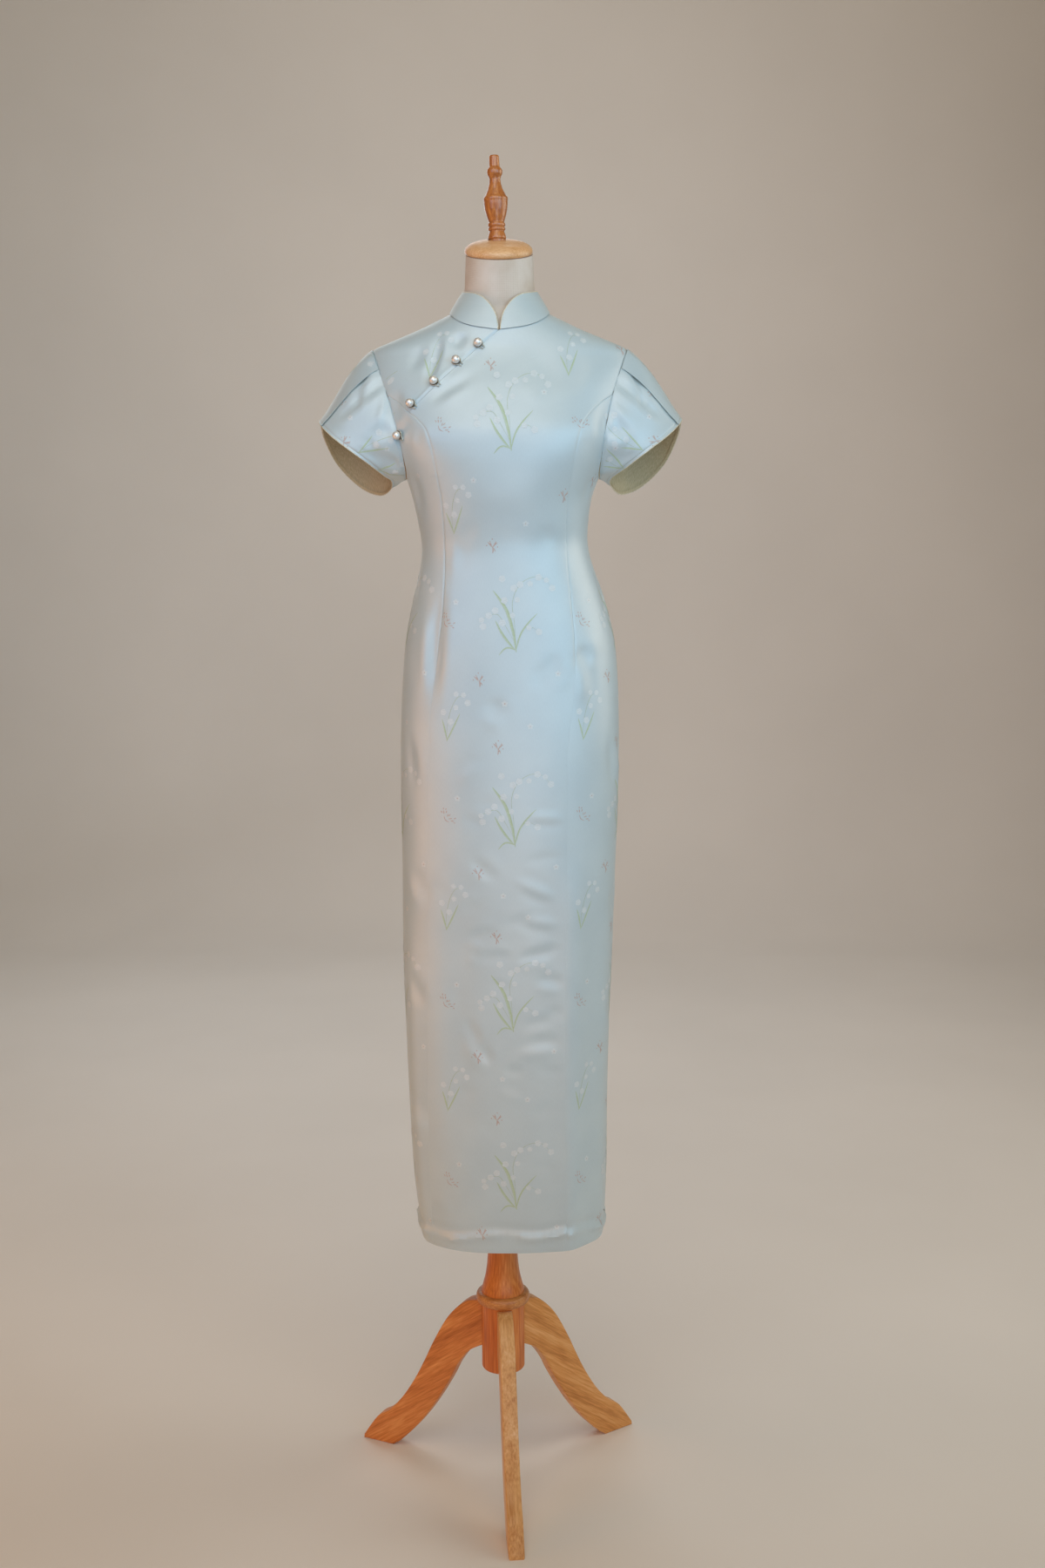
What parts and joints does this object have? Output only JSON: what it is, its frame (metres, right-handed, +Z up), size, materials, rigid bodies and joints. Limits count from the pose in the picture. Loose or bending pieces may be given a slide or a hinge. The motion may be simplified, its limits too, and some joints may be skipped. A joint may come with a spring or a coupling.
{
  "type": "cheongsam dress on dress form",
  "caption": "Floor-length cheongsam in pale brocade satin with stand collar, slanted pearl-button placket and petal sleeves, worn by a limbless dress form on a turned wooden tripod.",
  "frame": {"origin": "floor level, under the centre of the model's bounding box", "axes": "+Z up; -Y is the front of the dress; +X is the wearer's left"},
  "size_m": [0.5168, 0.3976, 1.9724],
  "materials": {
    "silk_satin_brocade": "pale blue silk satin brocade, sheen, woven flower sprays",
    "pearl_coating": "pearlescent lacquer over a bead",
    "loop_cord": "satin covered cord",
    "linen_cover": "plain off-white linen, matt",
    "beech": "pale turned wood, satin varnish",
    "stained_wood": "stained turned wood, gloss varnish",
    "varnished_pine": "pine, satin varnish"
  },
  "bodies": {
    "root": {"front_panel": "silk_satin_brocade", "front_yoke_right": "silk_satin_brocade", "side_front_right": "silk_satin_brocade", "side_front_left": "silk_satin_brocade", "back_left": "silk_satin_brocade", "back_right": "silk_satin_brocade", "collar": "silk_satin_brocade", "sleeve_front_right": "silk_satin_brocade", "sleeve_back_right": "silk_satin_brocade", "sleeve_front_left": "silk_satin_brocade", "sleeve_back_left": "silk_satin_brocade", "pearl_button_1": "pearl_coating", "pearl_button_2": "pearl_coating", "pearl_button_3": "pearl_coating", "pearl_button_4": "pearl_coating", "pearl_button_5": "pearl_coating", "button_loop_1": "loop_cord", "button_loop_2": "loop_cord", "button_loop_3": "loop_cord", "button_loop_4": "loop_cord", "button_loop_5": "loop_cord", "form_body": "linen_cover", "neck_cap": "beech", "finial": "stained_wood", "column": "varnished_pine", "collar_ring": "varnished_pine", "hub": "varnished_pine", "leg_1": "varnished_pine", "leg_2": "varnished_pine", "leg_3": "varnished_pine"}
  },
  "joints": []
}
